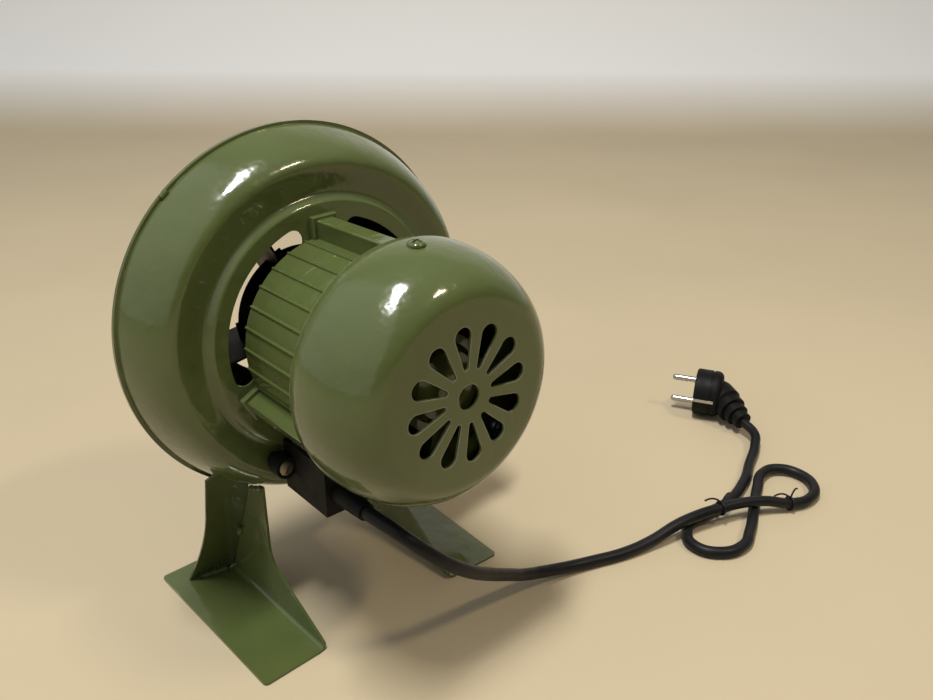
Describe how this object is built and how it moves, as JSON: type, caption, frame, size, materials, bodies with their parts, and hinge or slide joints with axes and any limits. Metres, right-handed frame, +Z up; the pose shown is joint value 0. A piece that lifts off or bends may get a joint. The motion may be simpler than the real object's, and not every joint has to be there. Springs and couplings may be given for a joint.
{
  "type": "centrifugal fan",
  "caption": "Motor-driven centrifugal blower with a round pressed casing, rear motor under a vented cowl, side outlet spigot, bent sheet feet and a mains cord.",
  "frame": {"origin": "on the floor under the middle of the blower's bounding box, cord and plug left out", "axes": "+Z up; +Y along the shaft from the cowl to the open inlet; +X along the outlet, out of the spigot"},
  "size_m": [0.4553, 0.2179, 0.259],
  "materials": {
    "green_paint": "glossy olive green enamel",
    "dark_green_paint": "glossy dark green enamel",
    "black_paint": "satin black paint",
    "black_plastic": "satin moulded plastic",
    "black_rubber": "satin rubber sheath",
    "aluminium": "machined",
    "laminations": "stacked sheet edges",
    "copper": "varnished winding wire",
    "brass": "yellow-passivated screw",
    "cream_plastic": "moulded",
    "nickel": "polished nickel plate",
    "steel": "zinc-plated or ground steel"
  },
  "bodies": {
    "blower": {"rear_casing": "green_paint", "front_casing": "green_paint", "outlet_pipe": "green_paint", "left_foot": "green_paint", "right_foot": "green_paint", "left_gusset": "dark_green_paint", "right_gusset": "dark_green_paint", "motor_housing": "green_paint", "front_endshield": "aluminium", "rear_endshield": "dark_green_paint", "endshield_screws": "steel", "stator_core": "laminations", "stator_windings": "copper", "front_bearing": "steel", "rear_bearing": "steel", "bearing_balls": "steel", "preload_washer": "steel", "motor_screws": "steel", "motor_cowl": "green_paint", "cowl_screws": "green_paint", "terminal_box": "black_plastic", "terminal_screws": "brass", "terminal_block": "cream_plastic", "capacitor": "aluminium", "cord_gland": "black_plastic", "gland_nut": "black_plastic", "power_cord": "black_rubber", "cord_ties": "black_rubber", "plug_body": "black_plastic", "plug_pins": "nickel", "plug_earth_clips": "nickel"},
    "rotor": {"shaft": "steel", "rotor_core": "laminations", "rotor_rings": "aluminium", "front_inner_race": "steel", "rear_inner_race": "steel", "hub_spacer": "steel", "impeller_hub": "steel", "impeller_plate": "black_paint", "impeller_blades": "black_paint", "hub_rivets": "steel", "blade_rivets": "steel", "impeller_washer": "steel", "impeller_nut": "steel"}
  },
  "joints": [
    {"name": "impeller_spin", "type": "hinge", "parent": "blower", "child": "rotor", "pos_m": [-0.009, 0.0455, 0.159], "axis": [0, 1, 0], "continuous": true}
  ]
}
